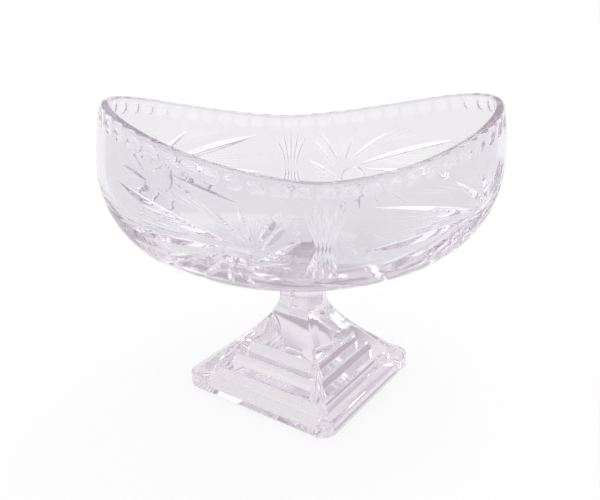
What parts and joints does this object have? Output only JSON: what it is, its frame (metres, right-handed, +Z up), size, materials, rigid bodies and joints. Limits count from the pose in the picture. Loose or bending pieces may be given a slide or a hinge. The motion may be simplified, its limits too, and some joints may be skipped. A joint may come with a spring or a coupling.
{
  "type": "pedestal fruit bowl",
  "caption": "Boat-shaped clear cut-crystal fruit bowl with a swept rim, on an octagonal stem and a square foot with a stepped hollow under it.",
  "frame": {"origin": "middle of the foot's resting face", "axes": "+Z up, X along the bowl's long axis, Y across it"},
  "size_m": [0.25, 0.164, 0.1905],
  "materials": {
    "bowl_crystal": "polished, mitre cut outside",
    "pedestal_crystal": "pressed and fire polished",
    "clear_bond": "clear cured adhesive"
  },
  "bodies": {
    "root": {"bowl": "bowl_crystal", "pedestal": "pedestal_crystal", "bond": "clear_bond"}
  },
  "joints": []
}
